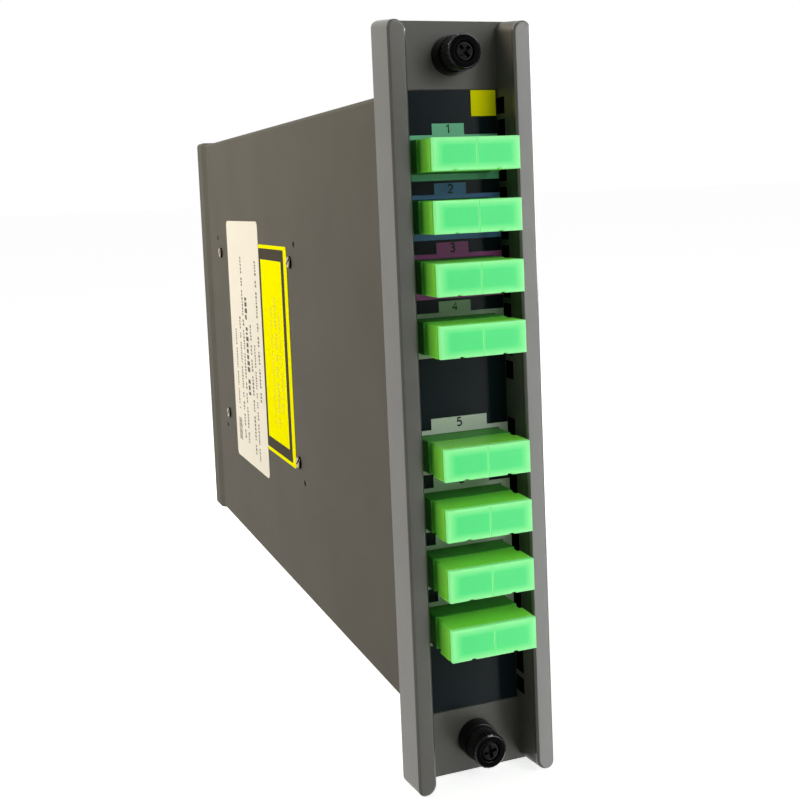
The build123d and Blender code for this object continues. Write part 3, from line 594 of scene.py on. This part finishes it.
# Cassette
# A light grey moulded tray with a snap-on lid. In it are a spool, a rack of steel filter tubes and a
# rack of clear splice sleeves.
cassette_plastic = shader("cassette_plastic", (0.3, 0.3, 0.28), roughness=0.5)
grain(cassette_plastic, scale=1200.0, distance=0.000008, edge=0.0003)
dress(cassette_plastic, "filter_cassette", "cassette_lid", "fibre_spool", "filter_holder", "splice_holder")

clear_sleeve = shader("clear_sleeve", (0.7, 0.74, 0.78), roughness=0.2)
dress(clear_sleeve, "splice_tubes")

# Floor, light and camera
# A white floor in a white surround, which keeps the object's soft shadow. Broad lamps stand at the
# left, in front and at the right.
floor_half = 60.0
floor_gap = 0.0002
floor_z = min(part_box("front_bezel")[0].z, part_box("housing_tray")[0].z) - floor_gap
corners = [(-1, -1), (1, -1), (1, 1), (-1, 1)]
floor_mesh = bpy.data.meshes.new("floor")
floor_mesh.from_pydata([(x * floor_half, y * floor_half, floor_z) for x, y in corners], [], [(0, 1, 2, 3)])
floor = bpy.data.objects.new("floor", floor_mesh)
bpy.context.scene.collection.objects.link(floor)
floor_white = shader("floor_white", (0.9, 0.9, 0.9), roughness=0.9, specular=0.0)
tree = floor_white.node_tree
surface = tree.nodes["Principled BSDF"]
surface.inputs["Emission Color"].default_value = (1.0, 1.0, 1.0, 1.0)
backdrop_glow = 0.76
rays = tree.nodes.new("ShaderNodeLightPath")
shown = maths(tree, "MAXIMUM", rays.outputs["Is Camera Ray"], rays.outputs["Is Transmission Ray"])
tree.links.new(maths(tree, "MULTIPLY", shown, backdrop_glow), surface.inputs["Emission Strength"])
# In reflections the white surround is seen below the object too.
clear = tree.nodes.new("ShaderNodeBsdfTransparent")
choice = tree.nodes.new("ShaderNodeMixShader")
tree.links.new(rays.outputs["Is Glossy Ray"], choice.inputs["Fac"])
tree.links.new(surface.outputs["BSDF"], choice.inputs[1])
tree.links.new(clear.outputs["BSDF"], choice.inputs[2])
tree.links.new(choice.outputs["Shader"], tree.nodes["Material Output"].inputs["Surface"])
floor_mesh.materials.append(floor_white)

# The white surround lights the object at a quarter of the strength at which it is seen.
world = bpy.data.worlds.new("world")
bpy.context.scene.world = world
world.use_nodes = True
world.cycles.sampling_method = "NONE"
tree = world.node_tree
background = tree.nodes["Background"]
background.inputs["Color"].default_value = (1.0, 1.0, 1.0, 1.0)
rays = tree.nodes.new("ShaderNodeLightPath")
reflected = rays.outputs["Is Glossy Ray"]
shown = maths(tree, "MAXIMUM", rays.outputs["Is Camera Ray"], rays.outputs["Is Transmission Ray"])
shown = maths(tree, "MAXIMUM", shown, reflected)
strength = span(tree, shown, 0.0, 1.0, low=0.25, high=1.0)

# A tall bright panel stands to the right of the front, seen only as sheen on smooth surfaces.
panel_strength = 7.5
left_outside, left_inside = 0.46, 0.5
right_outside, right_inside = 1.8, 1.4
x, y, _ = split(tree, "ShaderNodeTexCoord", "Generated")
slant = maths(tree, "DIVIDE", x, maths(tree, "MULTIPLY", y, -1.0))
left_edge = span(tree, slant, left_outside, left_inside, smooth=True)
right_edge = span(tree, slant, right_outside, right_inside, smooth=True)
in_front = maths(tree, "GREATER_THAN", x, 0.0)
panel = product(tree, left_edge, right_edge, in_front, maths(tree, "MULTIPLY", reflected, panel_strength))
strength = maths(tree, "ADD", strength, panel)

# In reflections the room in front of the object, left of the panel, is darker than the surround.
room_darkness = 0.9
beside, ahead = -0.3, -0.7
front = span(tree, y, beside, ahead, smooth=True)
left_of_panel = maths(tree, "SUBTRACT", 1.0, left_edge)
dimming = product(tree, front, left_of_panel, maths(tree, "MULTIPLY", reflected, room_darkness))
strength = maths(tree, "SUBTRACT", strength, dimming)
tree.links.new(strength, background.inputs["Strength"])


def lamp(name, place, target, size, power, color=(1.0, 1.0, 1.0)):
    """A square area lamp at a place in metres, facing a target."""
    data = bpy.data.lights.new(name, "AREA")
    data.size = size
    data.energy = power
    data.color = color
    made = bpy.data.objects.new(name, data)
    made.location = place
    direction = Vector(target) - Vector(place)
    made.rotation_mode = "QUATERNION"
    made.rotation_quaternion = direction.to_track_quat("-Z", "Y")
    bpy.context.scene.collection.objects.link(made)


lamp("left_lamp", (-0.5, 0.4, 0.45), (-0.02, 0.15, 0.02), size=0.4, power=4.8, color=(1.0, 0.86, 0.62))
lamp("front_lamp", (0.38, -1.15, 0.62), (0.0, 0.0, 0.0), size=0.5, power=4.6)
lamp("rim_lamp", (0.9, 0.4, 0.15), (0.0, 0.0, 0.0), size=0.4, power=3.0)

# The camera looks at the object from the front left, a little above its middle.
eye = Vector((-0.13271, -0.30928, 0.06063))
azimuth, elevation, roll = math.radians(-20.26), math.radians(4.80), math.radians(-2.45)
back = Vector((
    math.sin(azimuth) * math.cos(elevation),
    -math.cos(azimuth) * math.cos(elevation),
    math.sin(elevation),
))
right = (-back).cross(Vector((0.0, 0.0, 1.0))).normalized()
up = right.cross(-back)
turned_right = math.cos(roll) * right + math.sin(roll) * up
turned_up = -math.sin(roll) * right + math.cos(roll) * up
camera_data = bpy.data.cameras.new("camera")
camera_data.sensor_width = 36.0
camera_data.lens = 52.75
camera_data.shift_x = 0.0059
camera_data.shift_y = -0.1315
camera_data.clip_start = 0.01
camera_data.clip_end = 100.0
camera = bpy.data.objects.new("camera", camera_data)
turn = Matrix((turned_right, turned_up, back)).transposed()
camera.matrix_world = Matrix.Translation(eye) @ turn.to_4x4()
bpy.context.scene.collection.objects.link(camera)
bpy.context.scene.camera = camera
bpy.context.scene.view_settings.view_transform = "Standard"
